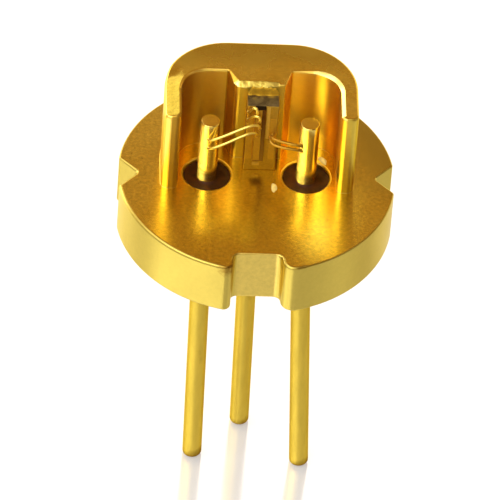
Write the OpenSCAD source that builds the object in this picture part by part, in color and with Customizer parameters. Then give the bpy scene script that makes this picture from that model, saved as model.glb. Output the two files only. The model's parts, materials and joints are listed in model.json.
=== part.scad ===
// Open-frame laser diode on a gold-plated three-lead header.
// Millimetres. The origin is the centre of the flange's top face, +Z runs up
// along the light beam, and +Y runs from the chip towards the frame's back.

/* [Flange] */
// Diameter of the flange
flange_d = 5.6; // [5.5:0.01:5.7]
// Thickness of the flange
flange_t = 1.2; // [1.0:0.05:1.4]
// Chamfer on the upper rim
rim_top = 0.025; // [0.01:0.005:0.06]
// Chamfer on the lower rim
rim_bottom = 0.05; // [0.01:0.005:0.1]
// Width of the square notch in front
notch_w = 1.0; // [0.8:0.05:1.2]
// Depth of the square notch, from the rim inwards
notch_depth = 0.49; // [0.3:0.01:0.6]
// Radius of the square notch's inner corners
notch_r = 0.15; // [0.05:0.01:0.25]
// Radius of the square notch's corners at the rim
mouth_r = 0.2; // [0.05:0.01:0.3]
// Depth of the two V notches
vee_depth = 0.38; // [0.3:0.005:0.45]
// Included angle of the V notches
vee_angle = 92; // [80:1:110]
// Radius at the bottom of the V notches
vee_r = 0.08; // [0.04:0.01:0.12]

/* [Leads] */
// Diameter of the leads
lead_d = 0.4; // [0.35:0.01:0.45]
// Diameter of the circle the leads stand on
lead_circle_d = 2.0; // [1.9:0.05:2.1]
// Height of the two posts above the flange
post_h = 1.46; // [1.3:0.01:1.7]
// Length of the leads below the flange
lead_len = 6.75; // [5:0.05:8]
// Rounding at the lead tips
tip_r = 0.09; // [0.03:0.01:0.15]
// Chamfer on top of the posts
post_chamfer = 0.025; // [0.01:0.005:0.05]
// Swelling of a lead's radius at its slight bend below the flange
bend_swell = 0.006; // [0.004:0.001:0.012]
// Depth of a lead's bend below the flange
bend_start = 0.3; // [0.25:0.01:0.6]
// Lean of the left lead, in degrees
left_lean = 0.85; // [0.2:0.05:5]
// Lean of the right lead, in degrees
right_lean = 3.3; // [0.2:0.05:5]
// Direction of the right lead's lean, in degrees from +X
right_lean_dir = -29; // [-90:1:90]
// Lean of the ground lead, in degrees
ground_lean = 0.85; // [0.2:0.05:5]

/* [Glass seals] */
// Diameter of the seal holes
seal_d = 0.94; // [0.85:0.01:1.05]
// Chamfer around the seal holes
seal_rim = 0.05; // [0.02:0.005:0.08]
// Depth of the glass below the flange's top face
seal_recess = 0.09; // [0.085:0.005:0.14]
// Depth of the glass above the flange's underside
seal_under = 0.04; // [0.01:0.005:0.1]

/* [Heat-sink frame] */
// Width of the frame
frame_w = 3.88; // [3.7:0.01:4.1]
// Height of the frame
frame_h = 2.0; // [1.8:0.05:2.2]
// Distance of the frame's back from the centre
frame_back = 1.77; // [1.6:0.01:1.9]
// Distance of the arms' front ends from the centre
frame_front = 0.46; // [0.3:0.01:0.6]
// Radius of the frame's two back corners
frame_r = 1.3; // [1.0:0.05:1.5]
// Thickness of the arms
arm_t = 0.34; // [0.28:0.01:0.42]
// Radius of the arms' outer front corners
arm_r = 0.15; // [0.1:0.01:0.25]
// Distance of the pockets' back wall from the centre
pocket_back = 0.92; // [0.85:0.01:1.05]
// Radius of the pockets' outer corners
pocket_r = 0.55; // [0.3:0.05:0.7]
// Distance of the bench's front face from the centre
bench_front = 0.51; // [0.46:0.01:0.56]
// Width of the bench at its front face
bench_w = 0.99; // [0.8:0.01:1.05]
// Width of the bench at the pockets' back wall
bench_root_w = 1.25; // [1.1:0.01:1.4]

/* [Chip and submount] */
// Width of the submount
submount_w = 0.64; // [0.6:0.01:0.75]
// Distance of the submount's middle from the centre plane
submount_x = 0.05; // [0:0.01:0.08]
// Thickness of the submount
submount_t = 0.35; // [0.28:0.01:0.38]
// Height of the submount's lower edge above the flange
submount_z0 = 0; // [0:0.01:0.3]
// Height of the submount's upper edge above the flange
submount_z1 = 1.73; // [1.68:0.01:1.8]
// Width of the chip
chip_w = 0.22; // [0.2:0.01:0.26]
// Thickness of the chip
chip_t = 0.1; // [0.08:0.01:0.12]
// Height of the chip's lower end above the flange
chip_z0 = 0.33; // [0.3:0.01:0.5]
// Height of the chip's light-emitting end above the flange
chip_z1 = 1.74; // [1.7:0.01:1.82]

/* [Bond wires] */
// Diameter of the bond wires
wire_d = 0.06; // [0.03:0.005:0.07]
// Diameter of the squashed ball at a wire's first bond
ball_d = 0.08; // [0.065:0.005:0.1]
// Height of the squashed ball
ball_h = 0.025; // [0.015:0.005:0.04]

/* [Hidden] */
$fn = 64;
eps = 0.5;
flange_r = flange_d/2;
lead_r = lead_d/2;
pitch_r = lead_circle_d/2;
under = -flange_t;
floor_z = under - lead_len;
submount_y = bench_front - submount_t;
chip_y = submount_y - chip_t;
left_dir = 0;
ground_dir = 0;

gold = [0.83, 0.62, 0.17];
lead_gold = [0.86, 0.69, 0.22];
glass_dark = [0.10, 0.05, 0.02];
ceramic_grey = [0.36, 0.31, 0.22];
chip_brown = [0.45, 0.30, 0.10];
wire_gold = [0.93, 0.78, 0.35];

// Bond-wire routes: the first bond, control points of the loop, and the second bond.
// Each first bond is on a face that looks along -Y.
front = [0, -1, 0];
post_y = -lead_r;
side = [-cos(45), -sin(45), 0];
side_x = pitch_r + lead_r*side.x;
side_y = lead_r*side.y;
route_left_upper = [[0.00, chip_y, 1.22], [0.02, -0.10, 1.62], [-0.30, -0.20, 1.52],
                    [-0.72, -0.30, 1.26], [-1.01, -0.36, 1.20], [-1.01, post_y, 1.11]];
route_left_lower = [[-0.05, chip_y, 1.03], [-0.03, -0.10, 1.40], [-0.30, -0.20, 1.30],
                    [-0.72, -0.30, 1.04], [-1.01, -0.36, 0.97], [-1.01, post_y, 0.88]];
route_chip_upper = [[-0.075, chip_y, 1.64], [-0.075, -0.06, 1.94], [-0.17, -0.01, 1.84], [-0.24, submount_y, 1.56]];
route_chip_lower = [[-0.01, chip_y, 1.41], [0.01, -0.09, 1.76], [-0.17, -0.01, 1.62], [-0.24, submount_y, 1.36]];
route_right_upper = [[0.27, submount_y, 0.97], [0.28, 0.04, 0.92], [0.48, -0.10, 1.01],
                     [0.74, -0.22, 1.05], [side_x, side_y, 0.97]];
route_right_lower = [[0.23, submount_y, 0.90], [0.23, 0.00, 0.79], [0.44, -0.12, 0.89],
                     [0.74, -0.22, 0.92], [side_x, side_y, 0.84]];

// Points of an arc, from angle a0 to a1.
function arc(c, r, a0, a1, n) = [for (i = [0:n]) c + r*[cos(a0 + (a1 - a0)*i/n), sin(a0 + (a1 - a0)*i/n)]];

// A point on the curve that a list of control points sets.
function along(c, t) = len(c) == 1 ? c[0]
    : along([for (i = [0:len(c) - 2]) c[i]*(1 - t) + c[i + 1]*t], t);
// Its direction there.
function heading(c, t) = let (d = along([for (i = [0:len(c) - 2]) c[i + 1] - c[i]], t)) d/norm(d);
// A ring of n points around p, square to the direction h.
function ring(p, h, r, n) = let (u0 = cross([1, 0, -1], h), u = u0/norm(u0), v = cross(h, u))
    [for (i = [0:n - 1]) p + r*(u*cos(360*i/n) + v*sin(360*i/n))];

// A round wire swept along a route, with a squashed ball at its first bond.
// It meets the face of its second bond, which looks along land, square on.
module bond_wire(route, land, n = 14, sides = 8) {
    top = route[0] + ball_h*front;
    c = [for (i = [0:len(route) - 1]) i == 0 ? top : route[i]];
    rings = concat(
        [ring(route[0], front, ball_d/2, sides), ring(top - front*0.002, front, ball_d/2, sides), ring(top, front, wire_d/2, sides)],
        [for (i = [1:n - 1]) ring(along(c, i/n), heading(c, i/n), wire_d/2, sides)],
        [ring(route[len(route) - 1], -land, wire_d/2, sides)]);
    m = len(rings);
    pts = [for (g = rings) each g];
    faces = concat(
        [[for (i = [0:sides - 1]) i]],
        [for (j = [0:m - 2]) for (i = [0:sides - 1])
            [j*sides + i, (j + 1)*sides + i, (j + 1)*sides + (i + 1)%sides, j*sides + (i + 1)%sides]],
        [[for (i = [sides - 1:-1:0]) (m - 1)*sides + i]]);
    color(wire_gold) polyhedron(pts, faces, convexity = 4);
}

// The cutter of one V notch, pointing along -X from the +X side.
module vee_cut() {
    h = vee_angle/2;
    cx = flange_r - vee_depth + vee_r;
    tx = cx - vee_r*sin(h);
    ty = vee_r*cos(h);
    far = flange_r + eps;
    translate([0, 0, under - eps]) linear_extrude(flange_t + 2*eps) {
        polygon([[tx, -ty], [far, -ty - (far - tx)*tan(h)], [far, ty + (far - tx)*tan(h)], [tx, ty]]);
        translate([cx, 0]) circle(vee_r);
    }
}

// The cutter of the square notch in front, with round inner corners and a rounded mouth.
module square_cut() {
    hw = notch_w/2;
    y0 = -flange_r + notch_depth;
    mx = hw + mouth_r;
    my = -sqrt(pow(flange_r - mouth_r, 2) - mx*mx);
    k = (flange_r + eps)/(flange_r - mouth_r);
    translate([0, 0, under - eps]) linear_extrude(flange_t + 2*eps) difference() {
        union() {
            translate([-hw, -flange_r - eps]) square([notch_w, notch_depth + eps - notch_r]);
            translate([-hw + notch_r, y0 - notch_r]) square([notch_w - 2*notch_r, notch_r]);
            for (s = [-1, 1]) {
                translate([s*(hw - notch_r), y0 - notch_r]) circle(notch_r);
                polygon([[0, my], [s*mx, my], [s*mx*k, my*k], [0, my*k]]);
            }
        }
        for (s = [-1, 1]) translate([s*mx, my]) circle(mouth_r);
    }
}

module seal_hole() {
    translate([0, 0, under - eps]) cylinder(d = seal_d, h = flange_t + 2*eps);
    rotate_extrude() polygon([[0, -seal_rim], [seal_d/2, -seal_rim], [seal_d/2 + 2*seal_rim, seal_rim], [0, seal_rim]]);
}

module stem_flange() {
    color(gold) difference() {
        rotate_extrude() polygon([[0, under], [flange_r - rim_bottom, under], [flange_r, under + rim_bottom],
                                  [flange_r, -rim_top], [flange_r - rim_top, 0], [0, 0]]);
        square_cut();
        vee_cut();
        mirror([1, 0, 0]) vee_cut();
        for (s = [-1, 1]) translate([s*pitch_r, 0, 0]) seal_hole();
    }
}

// Plan of the frame's outside.
module frame_outside() {
    hw = frame_w/2;
    cy = frame_back - frame_r;
    translate([-hw, -frame_front + arm_r]) square([frame_w, cy + frame_front - arm_r]);
    translate([-hw + frame_r, cy]) square([frame_w - 2*frame_r, frame_r]);
    translate([-hw + arm_r, -frame_front]) square([frame_w - 2*arm_r, arm_r]);
    for (s = [-1, 1]) {
        translate([s*(hw - frame_r), cy]) circle(frame_r);
        translate([s*(hw - arm_r), -frame_front + arm_r]) circle(arm_r);
    }
}

// Plan of the open middle: two pockets with the bench between them.
module frame_inside() {
    hw = frame_w/2 - arm_t;
    cy = pocket_back - pocket_r;
    difference() {
        union() {
            translate([-hw, -frame_front - eps]) square([2*hw, cy + frame_front + eps]);
            translate([-hw + pocket_r, cy]) square([2*(hw - pocket_r), pocket_r]);
            for (s = [-1, 1]) translate([s*(hw - pocket_r), cy]) circle(pocket_r);
        }
        polygon([[-bench_root_w/2, pocket_back], [-bench_root_w/2, pocket_back + eps],
                 [bench_root_w/2, pocket_back + eps], [bench_root_w/2, pocket_back],
                 [bench_w/2, bench_front], [-bench_w/2, bench_front]]);
    }
}

module heat_sink_frame() {
    color(gold) linear_extrude(frame_h) difference() {
        frame_outside();
        frame_inside();
    }
}

// A lead below the flange: straight, a slight bend towards +X, straight to its rounded tip.
// The two straight stretches end inside the bend's knuckle, just clear of each other.
module lead_tail(lean, top) {
    z0 = under - bend_start;
    gap = lead_r*sin(lean) + 0.01;
    tip_z = floor_z + tip_r*(1 - cos(lean)) + (lead_r - tip_r)*sin(lean);
    run = (z0 - tip_z)/cos(lean);
    rotate_extrude() polygon([[0, z0 + gap], [lead_r, z0 + gap], [lead_r, top - post_chamfer],
                              [lead_r - post_chamfer, top], [0, top]]);
    translate([0, 0, z0]) sphere(r = lead_r + bend_swell);
    translate([0, 0, z0]) rotate([0, -lean, 0]) rotate_extrude()
        polygon(concat([[0, -gap], [lead_r, -gap]],
                       arc([lead_r - tip_r, -run + tip_r], tip_r, 0, -90, 5), [[0, -run]]));
}

module left_lead() {
    color(lead_gold) translate([-pitch_r, 0, 0]) rotate([0, 0, left_dir]) lead_tail(left_lean, post_h);
}

module right_lead() {
    color(lead_gold) translate([pitch_r, 0, 0]) rotate([0, 0, right_lean_dir]) lead_tail(right_lean, post_h);
}

// The ground lead has no post: it stops at the flange's underside.
module ground_lead() {
    color(lead_gold) translate([0, pitch_r, 0]) rotate([0, 0, ground_dir]) lead_tail(ground_lean, under);
}

// A glass bead around a post, drawn up a little where it wets the metal.
module glass_seal() {
    r = seal_d/2;
    w = r - lead_r;
    color(glass_dark) rotate_extrude()
        polygon([[lead_r, under + seal_under*0.4], [lead_r + w*0.4, under + seal_under], [lead_r + w*0.7, under + seal_under],
                 [r, under + seal_under*0.5], [r, -seal_rim], [lead_r + w*0.8, -seal_recess], [lead_r + w*0.35, -seal_recess],
                 [lead_r + w*0.12, -seal_recess*0.75], [lead_r, -seal_recess*0.5]]);
}

module left_glass_seal() { translate([-pitch_r, 0, 0]) glass_seal(); }

module right_glass_seal() { translate([pitch_r, 0, 0]) glass_seal(); }

module submount() {
    color(ceramic_grey) translate([submount_x - submount_w/2, submount_y, submount_z0])
        cube([submount_w, submount_t, submount_z1 - submount_z0]);
}

module laser_chip() {
    color(chip_brown) translate([-chip_w/2, chip_y, chip_z0]) cube([chip_w, chip_t, chip_z1 - chip_z0]);
}

module left_wire_upper() { bond_wire(route_left_upper, front); }
module left_wire_lower() { bond_wire(route_left_lower, front); }
module chip_wire_upper() { bond_wire(route_chip_upper, front, 10); }
module chip_wire_lower() { bond_wire(route_chip_lower, front, 10); }
module right_wire_upper() { bond_wire(route_right_upper, side); }
module right_wire_lower() { bond_wire(route_right_lower, side); }

stem_flange();
heat_sink_frame();
left_lead();
right_lead();
ground_lead();
left_glass_seal();
right_glass_seal();
submount();
laser_chip();
left_wire_upper();
left_wire_lower();
chip_wire_upper();
chip_wire_lower();
right_wire_upper();
right_wire_lower();
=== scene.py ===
import json
import math
import bpy
from mathutils import Matrix, Vector, kdtree
from mathutils.geometry import delaunay_2d_cdt

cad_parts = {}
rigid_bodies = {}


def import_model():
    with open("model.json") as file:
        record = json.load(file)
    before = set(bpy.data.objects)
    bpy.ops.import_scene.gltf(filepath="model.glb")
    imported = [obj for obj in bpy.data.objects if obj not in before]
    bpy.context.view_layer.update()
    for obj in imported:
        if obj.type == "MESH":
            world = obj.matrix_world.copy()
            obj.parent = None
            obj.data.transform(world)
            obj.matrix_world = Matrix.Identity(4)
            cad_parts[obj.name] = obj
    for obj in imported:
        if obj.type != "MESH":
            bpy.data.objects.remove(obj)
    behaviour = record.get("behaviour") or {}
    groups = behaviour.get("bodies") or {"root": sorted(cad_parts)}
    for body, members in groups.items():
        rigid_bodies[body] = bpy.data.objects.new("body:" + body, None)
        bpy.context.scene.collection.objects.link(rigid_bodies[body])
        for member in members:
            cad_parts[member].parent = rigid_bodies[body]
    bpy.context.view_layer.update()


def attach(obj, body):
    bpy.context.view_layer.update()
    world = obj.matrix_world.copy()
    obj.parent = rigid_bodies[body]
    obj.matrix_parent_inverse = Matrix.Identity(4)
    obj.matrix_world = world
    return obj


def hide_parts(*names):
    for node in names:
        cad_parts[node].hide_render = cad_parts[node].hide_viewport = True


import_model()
scene = bpy.context.scene
scene.view_settings.view_transform = "Standard"

MM = 0.001
BODY = "root"

# ------------------------------------------------------------------ sizes, mm
FLANGE_R, UNDER = 2.8, -1.2
LEAD_R, PITCH, POST_H, FLOOR_Z = 0.2, 1.0, 1.46, -7.95
SEAL_R = 0.47
FRAME_H = 2.0
SUB_X0, SUB_X1, SUB_Y0, SUB_Y1, SUB_Z0, SUB_Z1 = -0.27, 0.37, 0.16, 0.51, 0.0, 1.73
CHIP_X, CHIP_Y0, CHIP_Z0, CHIP_Z1 = 0.11, 0.06, 0.33, 1.74
WIRE_R, BALL_R, BALL_H = 0.03, 0.04, 0.025


# ------------------------------------------------------------------ mesh tools
class Shape:
    """Vertices with their own normals, and faces, in millimetres."""

    def __init__(self):
        self.v, self.n, self.f, self.m = [], [], [], []

    def ring(self, items):
        i0 = len(self.v)
        for p, n in items:
            self.v.append(Vector(p))
            self.n.append(Vector(n))
        return list(range(i0, len(self.v)))

    def skin(self, a, b, mat=0):
        k = len(a)
        for i in range(k):
            j = (i + 1) % k
            self.f.append((a[i], a[j], b[j], b[i]))
            self.m.append(mat[i] if isinstance(mat, list) else mat)

    def lid(self, ring, mat=0):
        self.f.append(tuple(ring))
        self.m.append(mat)

    def cap(self, loops, up=True, mat=0, grid=0.0, height=None):
        """Fill a face with holes: the first loop is its outline. grid sets inner points, at height(x, y)."""
        pts, ids, edges = [], [], []
        for loop in loops:
            k0 = len(pts)
            for i in loop:
                pts.append(Vector((self.v[i].x, self.v[i].y)))
                ids.append(i)
            k = len(loop)
            edges += [(k0 + i, k0 + (i + 1) % k) for i in range(k)]
        rim = list(pts)

        def inside(c):
            odd = False
            for a, b in edges:
                p, q = rim[a], rim[b]
                if (p.y > c.y) != (q.y > c.y) and c.x < p.x + (c.y - p.y) * (q.x - p.x) / (q.y - p.y):
                    odd = not odd
            return odd

        if grid:
            tree = kdtree.KDTree(len(rim))
            for i, p in enumerate(rim):
                tree.insert((p.x, p.y, 0), i)
            tree.balance()
            far = max(abs(c) for p in rim for c in p)
            n = int(far / grid) + 2
            for j in range(-n, n + 1):
                for i in range(-n, n + 1):
                    c = Vector(((i + 0.5 * (j % 2)) * grid, j * grid * 0.866))
                    if tree.find((c.x, c.y, 0))[2] > 0.6 * grid and inside(c):
                        z, hx, hy = height(c.x, c.y)
                        ids += self.ring([((c.x, c.y, z), (-hx, -hy, 1.0))])
                        pts.append(c)
        vo, eo, fo, ov, oe, of = delaunay_2d_cdt(pts, edges, [], 0, 1e-7)
        for tri in fo:
            c = (vo[tri[0]] + vo[tri[1]] + vo[tri[2]]) / 3
            if not inside(c):
                continue
            t = [ids[ov[i][0]] for i in tri]
            A, B, C = (self.v[i] for i in t)
            if ((B.x - A.x) * (C.y - A.y) - (B.y - A.y) * (C.x - A.x) > 0) != up:
                t.reverse()
            self.f.append(tuple(t))
            self.m.append(mat)

    def make(self, name, mats, node=None, own_normals=True):
        me = bpy.data.meshes.new(name)
        me.from_pydata([p * MM for p in self.v], [], self.f)
        for m in mats:
            me.materials.append(m)
        me.polygons.foreach_set("use_smooth", [True] * len(self.f))
        me.polygons.foreach_set("material_index", self.m)
        me.update()
        if own_normals:
            me.normals_split_custom_set_from_vertices([n.normalized() for n in self.n])
        ob = bpy.data.objects.new(name, me)
        scene.collection.objects.link(ob)
        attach(ob, BODY)
        if node:
            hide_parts(node)
        return ob


def arc(cx, cy, r, n0, n1, step, concave=False):
    """Points of an arc with their outward normals, as the normal turns from n0 to n1."""
    k = max(2, math.ceil(abs(n1 - n0) / step))
    s = -r if concave else r
    out = []
    for i in range(k + 1):
        a = math.radians(n0 + (n1 - n0) * i / k)
        out.append((cx + s * math.cos(a), cy + s * math.sin(a), math.cos(a), math.sin(a)))
    return out


def tidy(pts):
    """Drop points that repeat the one before."""
    out = []
    for p in pts:
        if not out or math.hypot(p[0] - out[-1][0], p[1] - out[-1][1]) > 1e-5:
            out.append(p)
    if math.hypot(out[0][0] - out[-1][0], out[0][1] - out[-1][1]) < 1e-5:
        out.pop()
    return out


def outline(lines, radii, step=7.5):
    """A closed outline of straight lines (normal angle, distance) with a radius at each corner.
    radii[i] is the corner from line i to the next one."""
    pts = []
    for i, (a0, d0) in enumerate(lines):
        a1, d1 = lines[(i + 1) % len(lines)]
        r = radii[i]
        turn = (a1 - a0 + 180) % 360 - 180
        s = -r if turn > 0 else r
        x0, y0 = math.cos(math.radians(a0)), math.sin(math.radians(a0))
        x1, y1 = math.cos(math.radians(a1)), math.sin(math.radians(a1))
        det = x0 * y1 - x1 * y0
        e0, e1 = d0 + s, d1 + s
        cx, cy = (e0 * y1 - e1 * y0) / det, (x0 * e1 - x1 * e0) / det
        pts += arc(cx, cy, r, a0, a0 + turn, step, concave=turn < 0)
    return tidy(pts)


def prism(sh, pts, z0, z1, r_top, r_bot, segs=6, mat_side=0, mat_top=0, holes=(), flare=0.0, dip=None, grid=0.0):
    """An upright prism with rounded upper and lower edges. r_top may be a function of a point, and may give
    a radius or a profile of (inset, drop, normal's height angle). dip(x, y) gives how far the top falls or
    rises there, with its two slopes. Faces on a profile take the material after mat_side."""
    rt = r_top if callable(r_top) else (lambda x, y: r_top)
    own = [isinstance(rt(x, y), list) for x, y, nx, ny in pts]
    edge_mats = [mat_side + 1 if own[i] and own[(i + 1) % len(pts)] else mat_side for i in range(len(pts))]
    rings = []
    if flare:
        for k in range(segs + 1):
            a = math.radians(90 - 90 * k / segs)
            o = flare * (1 - math.cos(a))
            z = z0 + flare * (1 - math.sin(a))
            rings.append(sh.ring([((x + nx * o, y + ny * o, z), (nx * math.cos(a), ny * math.cos(a), math.sin(a)))
                                  for x, y, nx, ny in pts]))
    else:
        for k in range(segs + 1):
            a = math.radians(-90 + 90 * k / segs)
            o = r_bot * (1 - math.cos(a))
            z = z0 + r_bot * (1 + math.sin(a))
            rings.append(sh.ring([((x - nx * o, y - ny * o, z), (nx * math.cos(a), ny * math.cos(a), math.sin(a)))
                                  for x, y, nx, ny in pts]))
    for k in range(segs + 1):
        items = []
        for x, y, nx, ny in pts:
            r = rt(x, y)
            a = math.radians(90 * k / segs)
            o, drop = (r[k][0], r[k][1]) if isinstance(r, list) else (r * (1 - math.cos(a)), r * (1 - math.sin(a)))
            if isinstance(r, list):
                a = math.radians(r[k][2])
            px, py = x - nx * o, y - ny * o
            h, hx, hy = dip(px, py) if dip else (0.0, 0.0, 0.0)
            items.append(((px, py, z1 + h - drop),
                          (nx * math.cos(a) - hx * math.sin(a), ny * math.cos(a) - hy * math.sin(a), math.sin(a))))
        rings.append(sh.ring(items))
    n = len(rings)
    for i in range(n - 1):
        if i >= n - 1 - segs:
            sh.skin(rings[i], rings[i + 1], [m if m != mat_side else (mat_top if i == n - 2 else mat_side) for m in edge_mats])
        else:
            sh.skin(rings[i], rings[i + 1], mat_side)
    tops, bottoms = [rings[-1]], [rings[0]]
    for hx, hy, profile, steps, mat in holes:
        hr = []
        for r, z, nr, nz in profile:
            hr.append(sh.ring([((hx + r * math.cos(2 * math.pi * i / steps), hy + r * math.sin(2 * math.pi * i / steps), z),
                                (nr * math.cos(2 * math.pi * i / steps), nr * math.sin(2 * math.pi * i / steps), nz))
                               for i in range(steps)]))
        for i in range(len(hr) - 1):
            sh.skin(hr[i], hr[i + 1], mat)
        tops.append(hr[0])
        bottoms.append(hr[-1])
    sh.cap(tops, True, mat_top, grid, (lambda x, y: (z1 + dip(x, y)[0], *dip(x, y)[1:])) if dip else (lambda x, y: (z1, 0.0, 0.0)))
    sh.cap(bottoms, False, mat_side)


def sweep(sh, stations, sides, mat=0, ref=None):
    """A round skin along stations of (point, direction, half width, half height), closed at both ends.
    The half width lies along ref, carried along the path without twist."""
    t = stations[0][1].normalized()
    u = Vector(ref) if ref else t.orthogonal()
    rings = []
    for p, d, a, b in stations:
        d = d.normalized()
        u = (u - d * u.dot(d)).normalized()
        w = d.cross(u)
        rings.append(sh.ring([(p + u * (a * math.cos(2 * math.pi * i / sides)) + w * (b * math.sin(2 * math.pi * i / sides)),
                               u * math.cos(2 * math.pi * i / sides) + w * math.sin(2 * math.pi * i / sides))
                              for i in range(sides)]))
    for i in range(len(rings) - 1):
        sh.skin(rings[i], rings[i + 1], mat)
    sh.lid(list(reversed(rings[0])), mat)
    sh.lid(rings[-1], mat)


def revolve(sh, cx, cy, profile, steps, mat=0):
    """A closed ring of profile points (r, z), listed so that the outside is on the right."""
    k = len(profile)
    rings = []
    for i, (r, z) in enumerate(profile):
        (r0, z0), (r1, z1) = profile[i - 1], profile[(i + 1) % k]
        t = Vector((r1 - r0, z1 - z0)).normalized()
        rings.append(sh.ring([((cx + r * math.cos(2 * math.pi * j / steps), cy + r * math.sin(2 * math.pi * j / steps), z),
                               (t.y * math.cos(2 * math.pi * j / steps), t.y * math.sin(2 * math.pi * j / steps), -t.x))
                              for j in range(steps)]))
    for i in range(k):
        sh.skin(rings[i], rings[(i + 1) % k], mat)


def bezier(c, t):
    c = [Vector(p) for p in c]
    while len(c) > 1:
        c = [c[i].lerp(c[i + 1], t) for i in range(len(c) - 1)]
    return c[0]


# ------------------------------------------------------------------ materials
def new_material(name):
    mat = bpy.data.materials.new(name)
    mat.use_nodes = True
    nt = mat.node_tree
    nt.nodes.clear()
    out = nt.nodes.new("ShaderNodeOutputMaterial")
    bsdf = nt.nodes.new("ShaderNodeBsdfPrincipled")
    nt.links.new(bsdf.outputs[0], out.inputs[0])
    return mat, nt, bsdf


def coords(nt, stretch=(1, 1, 1)):
    """Object coordinates in millimetres."""
    tc = nt.nodes.new("ShaderNodeTexCoord")
    mp = nt.nodes.new("ShaderNodeMapping")
    mp.inputs["Scale"].default_value = tuple(1000.0 * s for s in stretch)
    nt.links.new(tc.outputs["Object"], mp.inputs["Vector"])
    return mp.outputs[0]


def noise(nt, vec, scale, detail=4.0, rough=0.6):
    n = nt.nodes.new("ShaderNodeTexNoise")
    n.inputs["Scale"].default_value = scale
    n.inputs["Detail"].default_value = detail
    n.inputs["Roughness"].default_value = rough
    nt.links.new(vec, n.inputs["Vector"])
    return n.outputs["Fac"]


def span(nt, fac, lo, hi, a, b):
    """Map fac from lo..hi to a..b, clamped."""
    m = nt.nodes.new("ShaderNodeMapRange")
    m.inputs["From Min"].default_value = lo
    m.inputs["From Max"].default_value = hi
    m.inputs["To Min"].default_value = a
    m.inputs["To Max"].default_value = b
    nt.links.new(fac, m.inputs["Value"])
    return m.outputs[0]


def math_node(nt, op, a, b):
    m = nt.nodes.new("ShaderNodeMath")
    m.operation = op
    for i, s in enumerate((a, b)):
        if isinstance(s, (int, float)):
            m.inputs[i].default_value = s
        else:
            nt.links.new(s, m.inputs[i])
    return m.outputs[0]


def mix_colour(nt, fac, a, b):
    m = nt.nodes.new("ShaderNodeMix")
    m.data_type = "RGBA"
    nt.links.new(fac, m.inputs["Factor"])
    for sock, s in ((m.inputs[6], a), (m.inputs[7], b)):
        if isinstance(s, tuple):
            sock.default_value = (*s, 1.0)
        else:
            nt.links.new(s, sock)
    return m.outputs[2]


def bump(nt, bsdf, height, strength, distance_mm):
    b = nt.nodes.new("ShaderNodeBump")
    b.inputs["Strength"].default_value = strength
    b.inputs["Distance"].default_value = distance_mm * MM
    nt.links.new(height, b.inputs["Height"])
    nt.links.new(b.outputs[0], bsdf.inputs["Normal"])


def shade(c, k):
    return tuple(min(1.0, x * k) for x in c)


GOLD = (0.84, 0.63, 0.115)
EDGE = (0.86, 0.66, 0.28, 1.0)
PALE_EDGE = (1.0, 0.92, 0.62, 1.0)
DEEP_EDGE = (0.78, 0.52, 0.06, 1.0)


def axis(nt, vec, name):
    sp = nt.nodes.new("ShaderNodeSeparateXYZ")
    nt.links.new(vec, sp.inputs[0])
    return sp.outputs[name]


def plating(name, base=GOLD, rough=0.2, vary=0.06, grain=16.0, tone=(0.88, 1.04), relief=0.35,
            stretch=(1, 1, 1), smear=1.4, edge=EDGE, painted_shade=None, gloss=0.03, worn=None, shade_spot=None):
    """Gold plate: fine grain in tone and relief, and broad smears in gloss.
    tarnish is (x weight, y weight, start, end, tone): painted shade, the plate darkens along that direction.
    worn is (x0, x1, y0, y1): below x0 and y0 the plate is pitted, and lighter there as a painted highlight.
    stain is (x, y, z, radius) of a dark ragged spot of painted shade."""
    mat, nt, bsdf = new_material(name)
    v = coords(nt, stretch)
    fine = noise(nt, v, grain, 5.0, 0.65)
    broad = noise(nt, coords(nt), smear, 3.0, 0.5)
    col = mix_colour(nt, span(nt, fine, 0.32, 0.68, 0.0, 1.0), shade(base, tone[0]), shade(base, tone[1]))
    # Painted shade: the plate darkens along the given direction.
    if painted_shade:
        wx, wy, t0, t1, k = painted_shade
        shade_way = math_node(nt, "ADD", math_node(nt, "MULTIPLY", axis(nt, coords(nt), "X"), wx), math_node(nt, "MULTIPLY", axis(nt, coords(nt), "Y"), wy))
        shade_way = math_node(nt, "ADD", shade_way, span(nt, broad, 0.3, 0.7, -0.2, 0.2))
        col = mix_colour(nt, span(nt, shade_way, t0, t1, 0.0, 1.0), col, shade(base, k))
    # Pitting, and a lighter colour there that is a painted highlight.
    if worn:
        x0, x1, y0, y1 = worn
        zone = math_node(nt, "MULTIPLY", span(nt, axis(nt, coords(nt), "X"), x0, x1, 1.0, 0.0), span(nt, axis(nt, coords(nt), "Y"), y0, y1, 1.0, 0.0))
        pits = span(nt, noise(nt, coords(nt), 11.0, 4.0, 0.6), 0.32, 0.68, 0.0, 1.0)
        col = mix_colour(nt, zone, col, mix_colour(nt, pits, (0.72, 0.56, 0.07), (0.92, 0.77, 0.12)))
    # A dark ragged spot of painted shade.
    if shade_spot:
        far = nt.nodes.new("ShaderNodeVectorMath")
        far.operation = "DISTANCE"
        nt.links.new(coords(nt), far.inputs[0])
        far.inputs[1].default_value = shade_spot[:3]
        d = math_node(nt, "ADD", far.outputs["Value"], span(nt, fine, 0.3, 0.7, -0.06, 0.06))
        col = mix_colour(nt, span(nt, d, 0.4 * shade_spot[3], shade_spot[3], 0.85, 0.0), col, (0.27, 0.13, 0.012))
    nt.links.new(col, bsdf.inputs["Base Color"])
    r = math_node(nt, "ADD", span(nt, broad, 0.3, 0.7, rough - vary, rough + vary), span(nt, fine, 0.3, 0.7, -gloss, gloss))
    nt.links.new(r, bsdf.inputs["Roughness"])
    bsdf.inputs["Metallic"].default_value = 1.0
    bsdf.inputs["Specular Tint"].default_value = edge
    if relief:
        bump(nt, bsdf, fine, relief, 0.003)
    return mat


# The flange top's plate darkens towards the right and back: painted shade.
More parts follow.
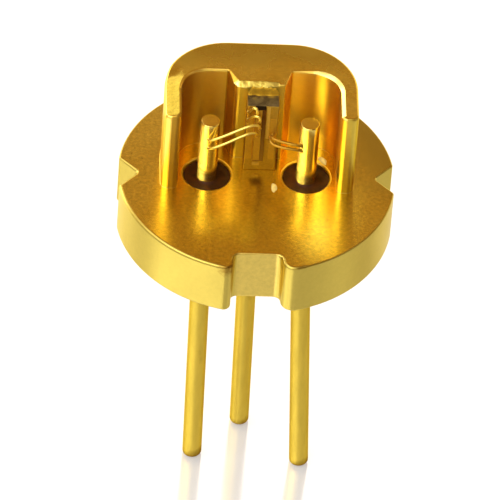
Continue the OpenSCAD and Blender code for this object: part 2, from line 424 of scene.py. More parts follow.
m_flange_top = plating("flange_top_gold", base=(0.84, 0.63, 0.115), rough=0.235, vary=0.02, grain=14.0, relief=0.0, tone=(0.78, 1.12), gloss=0.004, painted_shade=(0.8, 0.5, 1.4, 2.4, 0.62))
# The flange's side is a darker copy of its top plate, painted shade, with a painted shade spot at the notch's left
# mouth.
m_flange_side = plating("flange_side_gold", base=(0.575, 0.44, 0.085), rough=0.34, vary=0.04, grain=12.0, tone=(0.94, 1.02), relief=0.03, edge=PALE_EDGE, gloss=0.01, shade_spot=(-0.59, -2.61, -0.05, 0.25))
# A lighter copy of the flange's side plate for the notch's back wall: painted light.
m_notch = plating("notch_gold", base=(0.76, 0.57, 0.13), rough=0.38, vary=0.04, grain=12.0, relief=0.06, edge=PALE_EDGE, gloss=0.01)
# The frame's walls are a lighter copy of its top plate: painted light that brightens the pockets.
m_frame_side = plating("frame_side_gold", base=(0.95, 0.665, 0.12), rough=0.33, vary=0.02, grain=7.0, relief=0.0, tone=(0.95, 1.02), gloss=0.0)
# The frame top darkens towards the back, painted shade; the left arm's top is pitted and lighter, a painted highlight.
m_frame_top = plating("frame_top_gold", rough=0.27, vary=0.04, grain=9.0, relief=0.05, tone=(0.86, 1.07), gloss=0.0, painted_shade=(0.0, 1.0, 0.9, 1.4, 0.74), worn=(-1.62, -1.45, 0.45, 0.95))
m_post = plating("post_gold", base=(0.97, 0.74, 0.18), rough=0.22, vary=0.02, grain=7.0, relief=0.0, tone=(0.92, 1.03), gloss=0.01)
m_wire = plating("wire_gold", base=(1.0, 0.79, 0.17), rough=0.33, vary=0.04, grain=30.0, relief=0.1)
# A darker copy of the wire plate for the right wires, darkening further to the right: painted shade.
m_wire_shaded = plating("wire_gold_shaded", base=(0.72, 0.42, 0.055), rough=0.48, vary=0.05, grain=30.0, relief=0.2, painted_shade=(1.0, 0.0, 0.35, 0.85, 0.42))
m_pad = plating("pad_gold", base=(0.60, 0.355, 0.045), rough=0.42, vary=0.05, grain=22.0, relief=0.3, edge=DEEP_EDGE)
m_strip = plating("strip_gold", base=(0.72, 0.49, 0.11), rough=0.42, vary=0.05, grain=22.0, relief=0.3, edge=DEEP_EDGE)
m_solder = plating("solder_film", base=(0.80, 0.51, 0.045), rough=0.66, vary=0.06, grain=12.0, relief=0.6, tone=(0.84, 1.08), edge=DEEP_EDGE)
# A darker copy of the frame's plate for the bench's left flank and the left arm's inner front: painted shade.
m_slant = plating("bench_flank_gold", base=(0.54, 0.32, 0.04), rough=0.42, vary=0.03, grain=7.0, relief=0.0, tone=(0.93, 1.03), gloss=0.008)
# A darker copy of the frame's plate for the right arm's outer front and the bench's front: painted shade.
m_arm = plating("arm_front_gold", base=(0.70, 0.51, 0.075), rough=0.34, vary=0.02, grain=7.0, relief=0.0, tone=(0.93, 1.03), gloss=0.0)
# A paler copy of the frame's plate for the bench's left edges and the right arm's inner edge: painted highlight.
m_edge_highlight = plating("highlight_edge_gold", base=(0.97, 0.79, 0.22), rough=0.30, vary=0.03, grain=9.0, relief=0.1, tone=(0.93, 1.0))
# The seal holes' rims are a lighter copy of the flange's plate: painted highlight.
m_seal_rim = plating("seal_rim_gold", base=(0.92, 0.70, 0.16), rough=0.32, vary=0.03, grain=9.0, relief=0.0)


def lead_material():
    """The leads' satin plating, a darker copy of the posts' plate as painted shade, with painted shade at the cut ends,
    more on their right, and browned in a few specks.
    """
    mat, nt, bsdf = new_material("lead_gold")
    fine = noise(nt, coords(nt, (1, 1, 0.18)), 7.0, 5.0, 0.65)
    spots = noise(nt, coords(nt, (1, 1, 0.5)), 3.2, 4.0, 0.6)
    base, speck_and_shade_brown = (0.68, 0.50, 0.072), (0.27, 0.14, 0.015)
    col = mix_colour(nt, span(nt, fine, 0.32, 0.68, 0.0, 1.0), shade(base, 0.9), shade(base, 1.04))
    col = mix_colour(nt, span(nt, spots, 0.66, 0.80, 0.0, 0.3), col, speck_and_shade_brown)
    facing = nt.nodes.new("ShaderNodeNewGeometry").outputs["Normal"]
    # Painted shade near the floor, more on the right-facing side.
    shade_way = math_node(nt, "ADD", axis(nt, coords(nt), "Z"), math_node(nt, "MULTIPLY", axis(nt, facing, "X"), -0.09))
    shade_way = math_node(nt, "ADD", shade_way, span(nt, spots, 0.3, 0.7, 0.09, -0.09))
    col = mix_colour(nt, span(nt, shade_way, FLOOR_Z + 0.03, FLOOR_Z + 0.22, 0.85, 0.0), col, speck_and_shade_brown)
    nt.links.new(col, bsdf.inputs["Base Color"])
    nt.links.new(span(nt, spots, 0.3, 0.7, 0.46, 0.54), bsdf.inputs["Roughness"])
    bsdf.inputs["Metallic"].default_value = 1.0
    bsdf.inputs["Specular Tint"].default_value = EDGE
    bump(nt, bsdf, fine, 0.2, 0.003)
    return mat


m_lead = lead_material()


def fringe_material():
    """The bench's upper edge: lumpy bright plating, darker towards the right as painted shade."""
    mat, nt, bsdf = new_material("bench_fringe_gold")
    v = coords(nt)
    blot, fine = noise(nt, v, 6.5, 3.0, 0.6), noise(nt, v, 20.0, 4.0, 0.6)
    bright = mix_colour(nt, span(nt, blot, 0.36, 0.62, 0.0, 1.0), (0.62, 0.44, 0.06), (1.0, 0.82, 0.18))
    # Painted shade towards the right.
    shade_way = math_node(nt, "ADD", axis(nt, v, "X"), span(nt, blot, 0.3, 0.7, -0.12, 0.12))
    nt.links.new(mix_colour(nt, span(nt, shade_way, 0.08, 0.3, 0.0, 1.0), bright, (0.46, 0.32, 0.055)), bsdf.inputs["Base Color"])
    nt.links.new(span(nt, fine, 0.3, 0.7, 0.34, 0.48), bsdf.inputs["Roughness"])
    bsdf.inputs["Metallic"].default_value = 1.0
    bsdf.inputs["Specular Tint"].default_value = EDGE
    bump(nt, bsdf, math_node(nt, "ADD", blot, math_node(nt, "MULTIPLY", fine, 0.3)), 0.8, 0.03)
    return mat


m_fringe = fringe_material()


def glass_material():
    mat, nt, bsdf = new_material("seal_glass")
    v = coords(nt)
    f = noise(nt, v, 7.0, 4.0, 0.6)
    nt.links.new(mix_colour(nt, span(nt, f, 0.3, 0.7, 0.0, 1.0), (0.020, 0.005, 0.0010), (0.080, 0.020, 0.002)), bsdf.inputs["Base Color"])
    nt.links.new(span(nt, noise(nt, v, 3.0), 0.3, 0.7, 0.38, 0.52), bsdf.inputs["Roughness"])
    bsdf.inputs["IOR"].default_value = 1.45
    bsdf.inputs["Specular IOR Level"].default_value = 0.28
    bump(nt, bsdf, f, 0.15, 0.004)
    return mat


def ceramic_material():
    mat, nt, bsdf = new_material("submount_ceramic")
    v = coords(nt)
    f = noise(nt, v, 24.0, 5.0, 0.7)
    blot = noise(nt, v, 7.0, 3.0, 0.6)
    bare = mix_colour(nt, span(nt, blot, 0.38, 0.62, 0.0, 1.0), (0.058, 0.031, 0.006), (0.165, 0.102, 0.028))
    bare = mix_colour(nt, span(nt, f, 0.3, 0.7, 0.0, 0.5), bare, (0.13, 0.085, 0.03))
    creep = math_node(nt, "ADD", axis(nt, v, "Y"), span(nt, blot, 0.3, 0.7, -0.09, 0.09))
    nt.links.new(mix_colour(nt, span(nt, creep, 0.42, 0.5, 0.0, 1.0), bare, (0.24, 0.15, 0.02)), bsdf.inputs["Base Color"])
    bsdf.inputs["Specular IOR Level"].default_value = 0.2
    nt.links.new(span(nt, noise(nt, v, 6.0), 0.3, 0.7, 0.45, 0.65), bsdf.inputs["Roughness"])
    bump(nt, bsdf, f, 0.5, 0.003)
    return mat


def chip_material():
    mat, nt, bsdf = new_material("chip_semiconductor")
    v = coords(nt)
    f = noise(nt, v, 15.0, 3.0, 0.5)
    dark = mix_colour(nt, span(nt, f, 0.3, 0.7, 0.0, 1.0), (0.085, 0.024, 0.0008), (0.125, 0.040, 0.002))
    dark = mix_colour(nt, span(nt, axis(nt, v, "Z"), 0.35, 1.5, 1.0, 0.0), dark, (0.24, 0.105, 0.008))
    nt.links.new(mix_colour(nt, span(nt, axis(nt, v, "Z"), 1.715, 1.735, 0.0, 1.0), dark, (0.012, 0.005, 0.001)), bsdf.inputs["Base Color"])
    nt.links.new(span(nt, f, 0.3, 0.7, 0.26, 0.38), bsdf.inputs["Roughness"])
    bsdf.inputs["Specular IOR Level"].default_value = 0.10
    bump(nt, bsdf, f, 0.05, 0.002)
    return mat


m_metallised = plating("submount_metallised", base=(0.53, 0.325, 0.045), rough=0.42, vary=0.06, grain=20.0, relief=0.5, tone=(0.8, 1.05), edge=DEEP_EDGE)
def residue_material():
    """A pale dried flake; by the seal's rim the same flake is a painted highlight."""
    mat, nt, bsdf = new_material("pale_residue_and_glint")
    v = coords(nt)
    f = noise(nt, v, 14.0, 4.0, 0.6)
    nt.links.new(mix_colour(nt, span(nt, f, 0.3, 0.7, 0.0, 1.0), (0.80, 0.56, 0.13), (1.0, 0.82, 0.28)), bsdf.inputs["Base Color"])
    nt.links.new(span(nt, f, 0.3, 0.7, 0.45, 0.6), bsdf.inputs["Roughness"])
    bump(nt, bsdf, f, 0.3, 0.004)
    return mat


m_glass, m_ceramic, m_chip, m_residue_and_glint = glass_material(), ceramic_material(), chip_material(), residue_material()


# ------------------------------------------------------------------ flange
def vee_mouth(h, cx, vr, rm):
    """Centre of the arc that rounds a V notch's upper side into the rim."""
    s, c = math.sin(math.radians(h)), math.cos(math.radians(h))
    bx, by = cx - vr * s - rm * s, vr * c + rm * c
    q = bx * c + by * s
    t = -q + math.sqrt(q * q - (bx * bx + by * by - (FLANGE_R - rm) ** 2))
    return bx + t * c, by + t * s


def flange_outline():
    h, vr, cx, rm = 46.0, 0.08, FLANGE_R - 0.38 + 0.08, 0.09
    vx, vy = vee_mouth(h, cx, vr, rm)
    phi = math.degrees(math.atan2(vy, vx))
    hw, y0, nr = 0.5, -FLANGE_R + 0.49, 0.15
    rl, rr = 0.14, 0.24
    lx, rx = -(hw + rl), hw + rr
    ly, ry = -math.sqrt((FLANGE_R - rl) ** 2 - lx * lx), -math.sqrt((FLANGE_R - rr) ** 2 - rx * rx)
    al, ar = math.degrees(math.atan2(ly, lx)) + 360, math.degrees(math.atan2(ry, rx)) + 360
    p = arc(0, 0, FLANGE_R, phi, 180 - phi, 1.5)
    p += arc(-vx, vy, rm, 180 - phi, 180 + 90 - h, 9)
    p += arc(-cx, 0, vr, 180 + 90 - h, 180 - 90 + h, 9, concave=True)
    p += arc(-vx, -vy, rm, 90 + h, 180 + phi, 9)
    p += arc(0, 0, FLANGE_R, 180 + phi, al, 1.5)
    p += arc(lx, ly, rl, al, 360, 7.5)
    p += arc(-hw + nr, y0 - nr, nr, 360, 270, 9, concave=True)
    p += arc(hw - nr, y0 - nr, nr, 270, 180, 9, concave=True)
    p += arc(rx, ry, rr, 180, ar, 7.5)
    p += arc(0, 0, FLANGE_R, ar, 360 - phi, 1.5)
    p += arc(vx, -vy, rm, 360 - phi, 360 + 90 - h, 9)
    p += arc(cx, 0, vr, 360 + 90 - h, 360 - 90 + h, 9, concave=True)
    p += arc(vx, vy, rm, 360 - 90 + h, 360 + phi, 9)
    return tidy(p)


def seal_hole_profile():
    rt, rb, k = 0.05, 0.03, 8
    out = []
    for i in range(k + 1):
        a = math.radians(90 - 90 * i / k)
        out.append((SEAL_R + rt * (1 - math.cos(a)), -rt * (1 - math.sin(a)), -math.cos(a), math.sin(a)))
    for i in range(k + 1):
        a = math.radians(-90 * i / k)
        out.append((SEAL_R + rb * (1 - math.cos(a)), UNDER + rb * (1 + math.sin(a)), -math.cos(a), math.sin(a)))
    return out


sh = Shape()
prof = seal_hole_profile()


def rim_round(x, y):
    """The upper rim is worn rounder at the front left and at the notch's right corner."""
    if 0.4 < x < 0.95 and y < -2.2:
        return 0.062
    t = min(1.0, max(0.0, (-x - 0.3) / 0.5)) * min(1.0, max(0.0, (0.6 - y) / 0.8))
    return 0.034 + 0.034 * t


prism(sh, flange_outline(), UNDER, 0.0, rim_round, 0.06, 6, mat_side=1, mat_top=0,
      holes=[(-PITCH, 0, prof, 72, 2), (PITCH, 0, prof, 72, 2)])
# The notch's back wall takes the lighter plate, painted light.
for i, f in enumerate(sh.f):
    c = sum((sh.v[j] for j in f), Vector()) / len(f)
    if sh.m[i] == 1 and abs(c.x) < 0.42 and -2.6 < c.y < -2.0:
        sh.m[i] = 3
sh.make("flange_disc", [m_flange_top, m_flange_side, m_seal_rim, m_notch], "stem_flange")

# ------------------------------------------------------------------ heat-sink frame
lean = math.degrees(math.atan2(0.13, 0.41))
aL, aR = 180 + lean, 360 - lean


def through(x, y, a):
    return x * math.cos(math.radians(a)) + y * math.sin(math.radians(a))


frame_lines = [(270, 0.46), (0, 1.94), (90, 1.77), (180, 1.94), (270, 0.46), (0, -1.60), (270, -0.92),
               (aL, through(-0.52, 0.51, aL)), (270, -0.51), (aR, through(0.495, 0.51, aR)), (270, -0.92), (180, -1.60)]
frame_radii = [0.15, 1.3, 1.3, 0.15, 0.12, 0.55, 0.06, 0.15, 0.05, 0.06, 0.55, 0.12]


BENCH_EDGE = [(0.0, 0.095, 0.0), (0.003, 0.085, 28.0), (0.010, 0.077, 49.0), (0.052, 0.045, 52.5), (0.094, 0.013, 56.0), (0.099, 0.005, 72.0), (0.105, 0.0, 90.0)]


def frame_edge(x, y):
    """Edge rounding: a soft uneven chamfer on the bench, tight on its right side and elsewhere."""
    if -0.62 < x < 0.36 and y < 0.84:
        k = 1.0 + 0.12 * math.sin(17.0 * x + 1.0) + 0.07 * math.sin(43.0 * x + 2.3)
        k *= 1.0 - 0.45 * min(1.0, max(0.0, (x - 0.05) / 0.3))
        return [(o * (0.6 + 0.4 * k), d * k, a) for o, d, a in BENCH_EDGE]
    if 0.36 <= x < 0.7 and y < 0.93:
        return 0.03
    if 0.95 < x < 1.605 and -0.36 < y < 0.93:
        k = 0.36 + 0.42 * min(1.0, (x - 0.95) / 0.35)
        return [(o * k, d * k, a) for o, d, a in BENCH_EDGE]
    return 0.055


def frame_dip(x, y):
    """The left arm's top falls a little towards its outer side."""
    def ramp(t):
        t = min(1.0, max(0.0, t))
        return t * t * (3 - 2 * t), 6 * t * (1 - t)

    u = -x - 1.5
    if u <= 0 or y > 1.0:
        return 0.0, 0.0, 0.0
    soft, dsoft = ramp(u / 0.16)
    v, dv = ramp((1.0 - y) / 0.3)
    k = 0.2
    f = -k * u * soft
    return f * v, k * (soft + u * dsoft / 0.16) * v, f * dv * -1 / 0.3


def divided(pts, y, n):
    """Add points along the straight line at y."""
    out = []
    for i, p in enumerate(pts):
        q = pts[(i + 1) % len(pts)]
        out.append(p)
        if abs(p[1] - y) < 1e-6 and abs(q[1] - y) < 1e-6:
            out += [(p[0] + (q[0] - p[0]) * k / n, y, p[2], p[3]) for k in range(1, n)]
    return out


sh = Shape()
prism(sh, divided(outline(frame_lines, frame_radii, 6.0), 0.51, 40), 0.0, FRAME_H, frame_edge, 0.0, 6, mat_side=1, mat_top=0, flare=0.012, dip=frame_dip, grid=0.1)
for i, f in enumerate(sh.f):
    c = sum((sh.v[j] for j in f), Vector()) / len(f)
    # Darker plate on the bench's left flank and the left arm's inner front: painted shade.
    if sh.m[i] == 1 and (-0.68 < c.x < -0.5 and 0.56 < c.y < 0.93 or -1.775 < c.x < -1.58 and c.y < 0.3):
        sh.m[i] = 3
    # Darker plate on the right arm's outer front and the bench's front: painted shade.
    if sh.m[i] == 1 and (c.x > 1.7 and c.y < -0.15 or abs(c.x) < 0.53 and 0.5 < c.y < 0.515):
        sh.m[i] = 5
    # Paler plate on the bench's left edges and the right arm's inner edge: painted highlight.
    if sh.m[i] == 2 and (c.x > 0.7 or c.x < -0.44):
        sh.m[i] = 4
sh.make("heat_sink_block", [m_frame_top, m_frame_side, m_fringe, m_slant, m_edge_highlight, m_arm], "heat_sink_frame")


# ------------------------------------------------------------------ leads
def lead(name, node, x, y, lean_deg, dir_deg, top):
    d = Vector((math.sin(math.radians(lean_deg)) * math.cos(math.radians(dir_deg)),
                math.sin(math.radians(lean_deg)) * math.sin(math.radians(dir_deg)), -math.cos(math.radians(lean_deg))))
    down = Vector((0, 0, -1))
    z0, tip_r, r = UNDER - 0.3, 0.09, LEAD_R
    tip_z = FLOOR_Z + tip_r * (1 - math.cos(math.radians(lean_deg))) + (r - tip_r) * math.sin(math.radians(lean_deg))
    run = (z0 - tip_z) / math.cos(math.radians(lean_deg))
    pivot = Vector((x, y, z0))
    st = []
    if top > 0:
        e, k = 0.035, 5
        for i in range(k + 1):
            a = math.radians(90 - 90 * i / k)
            rr = r - e * (1 - math.cos(a))
            st.append((Vector((x, y, top - e * (1 - math.sin(a)))), down, rr, rr))
        for i in range(1, 13):
            st.append((Vector((x, y, top - e + (UNDER - top + e) * i / 13)), down, r, r))
    else:
        for h, rr in ((0.0, 0.285), (0.012, 0.252), (0.03, 0.228), (0.055, 0.211), (0.09, 0.2)):
            st.append((Vector((x, y, UNDER - h)), down, rr, rr))
    b0, b1 = pivot - down * 0.15, pivot + d * 0.15
    for i in range(7):
        t = i / 6
        p = bezier([b0, pivot, b1], t)
        st.append((p, down.lerp(d, t), r, r))
    for i in range(1, 25):
        st.append((b1.lerp(pivot + d * (run - tip_r), i / 24), d, r, r))
    for i in range(1, 8):
        a = math.radians(90 * i / 7)
        rr = r - tip_r * (1 - math.cos(a))
        st.append((pivot + d * (run - tip_r + tip_r * math.sin(a)), d, rr, rr))
    sh = Shape()
    sweep(sh, st, 56, ref=(1, 0, 0))
    for i, f in enumerate(sh.f):
        if sum(sh.v[j].z for j in f) / len(f) < -0.3:
            sh.m[i] = 1
    sh.make(name, [m_post, m_lead], node, own_normals=False)


lead("left_lead_wire", "left_lead", -PITCH, 0, 0.85, 0, POST_H)
lead("right_lead_wire", "right_lead", PITCH, 0, 3.3, -29, POST_H)
lead("ground_lead_wire", "ground_lead", 0, PITCH, 0.85, 0, UNDER)


# ------------------------------------------------------------------ glass seals
def glass(name, node, cx):
    r, w = SEAL_R, SEAL_R - LEAD_R
    keys = [(LEAD_R, UNDER + 0.016), (LEAD_R + 0.12 * w, UNDER + 0.028), (LEAD_R + 0.4 * w, UNDER + 0.04), (LEAD_R + 0.7 * w, UNDER + 0.04),
            (LEAD_R + 0.9 * w, UNDER + 0.03), (r, UNDER + 0.032)]
    keys += [(r, UNDER + 0.3), (r, UNDER + 0.6), (r, UNDER + 0.9), (r, -0.072)]
    keys += [(LEAD_R + 0.96 * w, -0.076), (LEAD_R + 0.86 * w, -0.083), (LEAD_R + 0.70 * w, -0.090), (LEAD_R + 0.5 * w, -0.090),
             (LEAD_R + 0.33 * w, -0.086), (LEAD_R + 0.2 * w, -0.078), (LEAD_R + 0.1 * w, -0.066), (LEAD_R + 0.04 * w, -0.054), (LEAD_R, -0.044)]
    keys += [(LEAD_R, -0.3), (LEAD_R, -0.6), (LEAD_R, -0.9)]
    sh = Shape()
    revolve(sh, cx, 0, keys, 72)
    sh.make(name, [m_glass], node, own_normals=False)


glass("left_glass_bead", "left_glass_seal", -PITCH)
glass("right_glass_bead", "right_glass_seal", PITCH)


# ------------------------------------------------------------------ submount and chip
def block(sh, x0, x1, y0, y1, z0, z1, r, e, segs=3, mat=0, mat_top=0):
    pts = outline([(270, -y0), (0, x1), (90, y1), (180, -x0)], [r] * 4, 22.5)
    prism(sh, pts, z0, z1, e, e, segs, mat_side=mat, mat_top=mat_top)


sh = Shape()
block(sh, SUB_X0, SUB_X1, SUB_Y0, SUB_Y1, SUB_Z0, SUB_Z1, 0.018, 0.014, mat=1, mat_top=0)
sh.make("submount_block", [m_ceramic, m_metallised], "submount")

sh = Shape()
block(sh, -0.255, -0.118, SUB_Y0 - 0.006, SUB_Y0 + 0.004, 0.30, 1.70, 0.004, 0.003)
sh.make("submount_pad_left", [m_pad])
sh = Shape()
block(sh, 0.21, 0.33, SUB_Y0 - 0.006, SUB_Y0 + 0.004, 0.30, 1.40, 0.004, 0.003)
sh.make("submount_pad_right", [m_pad])
sh = Shape()
block(sh, 0.128, 0.2, SUB_Y0 - 0.006, SUB_Y0 + 0.004, 0.86, 1.71, 0.004, 0.003)
sh.make("submount_strip", [m_strip])
sh = Shape()
block(sh, -0.10, 0.045, SUB_Y0 - 0.012, SUB_Y0 + 0.004, 0.13, 0.215, 0.006, 0.005)
sh.make("submount_tab", [m_strip])

sh = Shape()
block(sh, -CHIP_X, CHIP_X, CHIP_Y0, SUB_Y0, CHIP_Z0, CHIP_Z1, 0.008, 0.006)
sh.make("chip_die", [m_chip], "laser_chip")
sh = Shape()
block(sh, -0.098, 0.03, CHIP_Y0 - 0.004, CHIP_Y0 + 0.004, CHIP_Z0 + 0.03, CHIP_Z1 - 0.03, 0.003, 0.002)
sh.make("chip_contact", [m_pad])
sh = Shape()
block(sh, -0.114, -0.104, CHIP_Y0 - 0.004, SUB_Y0 + 0.003, CHIP_Z0 + 0.01, CHIP_Z1 - 0.13, 0.004, 0.003)
sh.make("chip_contact_side", [m_pad])


def solder_bead(name, x0, x1, y, z, reach, height, n=48, k=6):
    """A concave film of solder between the submount's top and the bench, with a wavy upper edge."""
    sh = Shape()
    rings = []
    for i in range(n + 1):
        x = x0 + (x1 - x0) * i / n
        e = min(1.0, 8.0 * i / n, 8.0 * (n - i) / n)
        h = height * (0.25 + 0.75 * e) * (1.0 + 0.05 * math.sin(37.0 * x + 0.6) + 0.04 * math.sin(71.0 * x))
        w = reach * (0.4 + 0.6 * e) * (1.0 + 0.3 * math.sin(29.0 * x + 2.0))
        ring = [((x, y + 0.004, z - 0.004), (0, 1, -1)), ((x, y + 0.004, z + h), (0, 0, 1))]
        for j in range(k + 1):
            a = math.radians(90 * j / k)
            ring.append(((x, y - w * (1 - math.cos(a)), z + h * (1 - math.sin(a))), (0, -h, w)))
        ring.append(((x, y - w, z - 0.004), (0, -1, -1)))
        rings.append(sh.ring(ring))
    for a, b in zip(rings, rings[1:]):
        sh.skin(a, b)
    sh.lid(list(reversed(rings[0])))
    sh.lid(rings[-1])
    sh.make(name, [m_solder], own_normals=False)


# A thin dark block on the bench's front by its right foot: painted shade of a gap.
sh = Shape()
block(sh, 0.392, 0.436, SUB_Y1 - 0.012, SUB_Y1 + 0.006, 0.0, 0.36, 0.007, 0.005)
sh.make("bench_foot_shade_block", [m_chip])
solder_bead("submount_solder", -0.262, 0.362, SUB_Y1, SUB_Z1, 0.03, 0.19)


def fleck(name, x, y, half_x, half_y, height, turn, mats, n=18, k=5):
    """A small domed flake lying on the flange."""
    sh = Shape()
    c, s = math.cos(math.radians(turn)), math.sin(math.radians(turn))
    rings = []
    for j in range(k + 1):
        a = math.radians(90 * j / k * 0.94)
        ring = []
        for i in range(n):
            b = 2 * math.pi * i / n
            r = math.cos(a) * (1 + 0.14 * math.sin(2 * b + 0.7) + 0.10 * math.sin(3 * b + 2.0))
            u, v = half_x * r * math.cos(b), half_y * r * math.sin(b)
            ring.append(((x + u * c - v * s, y + u * s + v * c, height * math.sin(a) - 0.002), (math.cos(b), math.sin(b), 1)))
        rings.append(sh.ring(ring))
    for a, b in zip(rings, rings[1:]):
        sh.skin(a, b)
    sh.lid(list(reversed(rings[0])))
    sh.lid(rings[-1])
    sh.make(name, mats, own_normals=False)


fleck("flange_fleck", 0.35, -0.36, 0.055, 0.14, 0.03, 8, [m_residue_and_glint], 28, 8)
# A pale flake on the right seal's rim: painted highlight.
fleck("seal_rim_glint", 1.345, 0.482, 0.060, 0.135, 0.05, 42, [m_residue_and_glint], 28, 8)


# ------------------------------------------------------------------ bond wires
def bond_wire(name, node, route, land, n=40, sides=16, mat=m_wire):
    front = Vector((0, -1, 0))
    land = Vector(land).normalized()
    p0 = Vector(route[0])
    top = p0 + front * BALL_H
    ctrl = [top] + [Vector(p) for p in route[1:]]
    end = Vector(route[-1])
    st = []
    for h, r in ((-0.002, 0.030), (0.002, 0.0365), (0.007, 0.040), (0.013, 0.0395), (0.018, 0.0355), (0.022, 0.029)):
        st.append((p0 + front * h, front, r, r))

    def lift(t):
        return front * (0.03 * (t / 0.07) * math.exp(1 - t / 0.07))

    def at(t):
        return bezier(ctrl, t) + lift(t) * (1 - t)

    for i in range(0, n - 1):
        t = i / n
        p = at(t)
        d = (at(min(1, t + 0.004)) - at(max(0, t - 0.004))).normalized()
        if t < 0.12:
            k = t / 0.12
            d = front.lerp(d, k * k * (3 - 2 * k)).normalized()
        st.append((p, d, WIRE_R, WIRE_R))
    into = -land
    d = (at((n - 1) / n) - at((n - 2) / n)).normalized()
    foot = end + land * 0.020
    st.append((st[-1][0].lerp(foot, 0.6), d.lerp(into, 0.5), WIRE_R, WIRE_R))
    st.append((foot, into, WIRE_R * 1.05, WIRE_R * 1.05))
    st.append((end + land * 0.013, into, WIRE_R * 1.45, WIRE_R * 1.2))
    st.append((end + land * 0.006, into, WIRE_R * 1.7, WIRE_R * 1.35))
    st.append((end - land * 0.004, into, WIRE_R * 1.7, WIRE_R * 1.35))
    sh = Shape()
    sweep(sh, st, sides)
    sh.make(name, [mat], node, own_normals=False)


C, S, PY = CHIP_Y0, SUB_Y0, -0.2
sd = Vector((-math.cos(math.radians(45)), -math.sin(math.radians(45)), 0))
side_pt = Vector((PITCH, 0, 0)) + sd * LEAD_R
FRONT = (0, -1, 0)
bond_wire("bond_left_upper", "left_wire_upper", [(0.00, C, 1.22), (0.02, -0.10, 1.62), (-0.30, -0.20, 1.52), (-0.72, -0.30, 1.26), (-1.01, -0.36, 1.20), (-1.01, PY, 1.11)], FRONT)
bond_wire("bond_left_lower", "left_wire_lower", [(-0.05, C, 1.03), (-0.03, -0.10, 1.40), (-0.30, -0.20, 1.30), (-0.72, -0.30, 1.04), (-1.01, -0.36, 0.97), (-1.01, PY, 0.88)], FRONT)
bond_wire("bond_chip_upper", "chip_wire_upper", [(-0.075, C, 1.64), (-0.075, -0.06, 1.94), (-0.17, -0.01, 1.84), (-0.24, S, 1.56)], FRONT, 24)
bond_wire("bond_chip_lower", "chip_wire_lower", [(-0.01, C, 1.41), (0.01, -0.09, 1.76), (-0.17, -0.01, 1.62), (-0.24, S, 1.36)], FRONT, 24)
# The right wires take the darker wire plate, painted shade.
bond_wire("bond_right_upper", "right_wire_upper", [(0.27, S, 0.97), (0.28, 0.04, 0.92), (0.48, -0.10, 1.01), (0.74, -0.22, 1.05), (side_pt.x, side_pt.y, 0.97)], sd, mat=m_wire_shaded)
bond_wire("bond_right_lower", "right_wire_lower", [(0.23, S, 0.90), (0.23, 0.00, 0.79), (0.44, -0.12, 0.89), (0.74, -0.22, 0.92), (side_pt.x, side_pt.y, 0.84)], sd, mat=m_wire_shaded)

# ------------------------------------------------------------------ camera
EL, AZ, ROLL = math.radians(43.46), math.radians(-3.86), math.radians(4.4)
back = Vector((math.sin(AZ) * math.cos(EL), -math.cos(AZ) * math.cos(EL), math.sin(EL)))
right = Vector((math.cos(AZ), math.sin(AZ), 0))
up = right.cross(-back)
cx_ = right * math.cos(ROLL) + up * math.sin(ROLL)
cy_ = -right * math.sin(ROLL) + up * math.cos(ROLL)
loc = (Vector((-0.012, 0, -2.0866)) + back * 150.0) * MM
cam_data = bpy.data.cameras.new("camera")
cam = bpy.data.objects.new("camera", cam_data)
scene.collection.objects.link(cam)
cam.matrix_world = Matrix(((cx_.x, cy_.x, back.x, loc.x), (cx_.y, cy_.y, back.y, loc.y), (cx_.z, cy_.z, back.z, loc.z), (0, 0, 0, 1)))
cam_data.sensor_width = 36.0
cam_data.lens = 7374.3 * 36.0 / 500.0
cam_data.clip_start = 0.005
cam_data.clip_end = 10.0
scene.camera = cam


# ------------------------------------------------------------------ light and floor
def area(name, at, to, w, h, radiance, colour=(1, 1, 1), seen=False):
    """A soft panel at a point in mm, facing another, with the given brightness."""
    li = bpy.data.lights.new(name, "AREA")
    li.shape = "RECTANGLE"
    li.size, li.size_y = w * MM, h * MM
    li.energy = radiance * math.pi * w * h * MM * MM
    li.color = colour
    ob = bpy.data.objects.new(name, li)
    at, to = Vector(at), Vector(to)
    ob.matrix_world = Matrix.Translation(at * MM) @ (to - at).to_track_quat("-Z", "Y").to_matrix().to_4x4()
    ob.visible_camera = seen
    scene.collection.objects.link(ob)
    return ob


def panel(name, az, el, dist, w, h, radiance, colour=(1, 1, 1)):
    """A soft panel placed by its bearing to the left of the front, and its height angle."""
    a, e = math.radians(az), math.radians(el)
    area(name, (-dist * math.cos(e) * math.sin(a), -dist * math.cos(e) * math.cos(a), dist * math.sin(e)), (0, 0, 0), w, h, radiance, colour)


panel("key_front_left", 53, 43, 85, 88, 42, 4.2)
panel("key_left", 100, 43, 85, 48, 42, 1.1)
panel("back_left", 155, 40, 85, 26, 22, 1.1)
panel("low_left", 128, 17, 85, 48, 38, 4.6)
panel("right_fill", -75, 36, 85, 40, 30, 0.7)
panel("top_front", 0, 62, 85, 46, 38, 1.7)
area("low_back", (0, 20, 2.8), (0, 0, 2.8), 120, 21.4, 1.0)

# A small panel for each post that lights only that post, from below on the left
stops = bpy.data.collections.new("post_light_stops")
for name, x in (("left_lead_wire", -PITCH), ("right_lead_wire", PITCH)):
    li = area("light_" + name, (x - 2.1, -0.67, -1.36), (x, 0, 0.73), 3.0, 1.3, 14.0, (1.0, 0.88, 0.45))
    li.data.spread = math.radians(60)
    lit = bpy.data.collections.new("lit_" + name)
    lit.objects.link(bpy.data.objects[name])
    li.light_linking.receiver_collection = lit
    li.light_linking.blocker_collection = stops

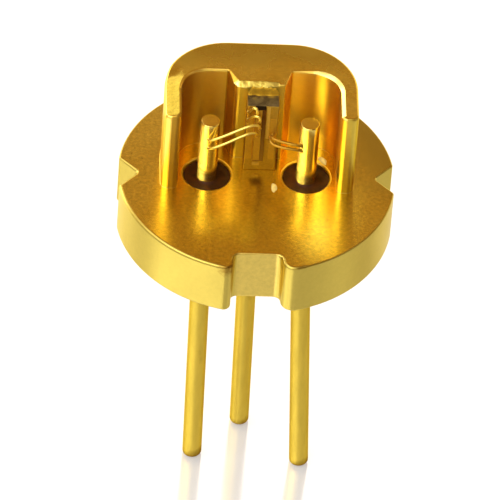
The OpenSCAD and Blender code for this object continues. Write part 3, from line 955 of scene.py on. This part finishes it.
# A small panel above that lights only the fine wires and the pale flake by the seal, a painted highlight
wire_light = area("wire_top", (-1.0, -6.5, 10.5), (-0.3, 0, 1.1), 7, 5, 6.0)
fine = bpy.data.collections.new("fine_wires")
for n in ("bond_left_upper", "bond_left_lower", "bond_chip_upper", "bond_chip_lower", "seal_rim_glint"):
    fine.objects.link(bpy.data.objects[n])
wire_light.light_linking.receiver_collection = fine
wire_light.light_linking.blocker_collection = stops

# A small panel behind the frame that brightens the flange's right front
glow = area("flange_glow", (1.62, 1.35, 2.55), (1.42, -1.4, 0), 0.75, 1.1, 2.2, (1.0, 0.95, 0.45))
glow_on = bpy.data.collections.new("lit_flange")
glow_on.objects.link(bpy.data.objects["flange_disc"])
glow.light_linking.receiver_collection = glow_on

world = bpy.data.worlds.new("studio")
scene.world = world
world.use_nodes = True
wn = world.node_tree
wn.nodes.clear()
w_out = wn.nodes.new("ShaderNodeOutputWorld")
w_cam = wn.nodes.new("ShaderNodeBackground")
w_env = wn.nodes.new("ShaderNodeBackground")
w_mix = wn.nodes.new("ShaderNodeMixShader")
w_path = wn.nodes.new("ShaderNodeLightPath")
w_dir = wn.nodes.new("ShaderNodeTexCoord")
w_xyz = wn.nodes.new("ShaderNodeSeparateXYZ")
wn.links.new(w_dir.outputs["Generated"], w_xyz.inputs[0])
w_col = mix_colour(wn, span(wn, w_xyz.outputs["Y"], -0.3, 0.45, 0.0, 1.0), (0.21, 0.105, 0.018), (0.42, 0.215, 0.04))
w_side = math_node(wn, "ADD", math_node(wn, "MULTIPLY", w_xyz.outputs["X"], -0.5), math_node(wn, "MULTIPLY", w_xyz.outputs["Y"], -0.866))
w_low = math_node(wn, "MULTIPLY", span(wn, w_xyz.outputs["Z"], 0.16, 0.34, 1.0, 0.0), span(wn, w_side, 0.45, 0.75, 0.0, 1.0))
w_col = mix_colour(wn, w_low, w_col, (1.0, 0.92, 0.70))
wn.links.new(w_col, w_env.inputs[0])
w_seen = mix_colour(wn, w_path.outputs["Is Camera Ray"], (0.45, 0.45, 0.45), (0.95, 0.95, 0.95))
wn.links.new(w_seen, w_cam.inputs[0])
wn.links.new(w_path.outputs["Is Glossy Ray"], w_mix.inputs[0])
wn.links.new(w_cam.outputs[0], w_mix.inputs[1])
wn.links.new(w_env.outputs[0], w_mix.inputs[2])
wn.links.new(w_mix.outputs[0], w_out.inputs[0])


def floor_material():
    mat, nt, bsdf = new_material("floor_white")
    f = noise(nt, coords(nt), 0.4, 3.0, 0.5)
    nt.links.new(mix_colour(nt, span(nt, f, 0.3, 0.7, 0.0, 1.0), (0.44, 0.44, 0.44), (0.46, 0.46, 0.46)), bsdf.inputs["Base Color"])
    nt.links.new(span(nt, f, 0.3, 0.7, 0.10, 0.14), bsdf.inputs["Roughness"])
    bsdf.inputs["Specular IOR Level"].default_value = 1.0
    bsdf.inputs["IOR"].default_value = 2.6
    bsdf.inputs["Emission Color"].default_value = (1.0, 1.0, 1.0, 1)
    bsdf.inputs["Emission Strength"].default_value = 0.36
    return mat


fm = bpy.data.meshes.new("floor")
S2, Z2 = 0.6, (FLOOR_Z - 0.004) * MM
fm.from_pydata([(-S2, -S2, Z2), (S2, -S2, Z2), (S2, S2, Z2), (-S2, S2, Z2)], [], [(0, 1, 2, 3)])
fm.materials.append(floor_material())
floor = bpy.data.objects.new("floor", fm)
scene.collection.objects.link(floor)
stops.objects.link(floor)

# a panel above low_back for the floor alone, which keeps it white towards the viewer
floor_back = area("floor_back", (0, 20, 18.5), (0, 0, 18.5), 120, 10, 1.0)
floor_lit = bpy.data.collections.new("lit_floor")
floor_lit.objects.link(floor)
floor_back.light_linking.receiver_collection = floor_lit
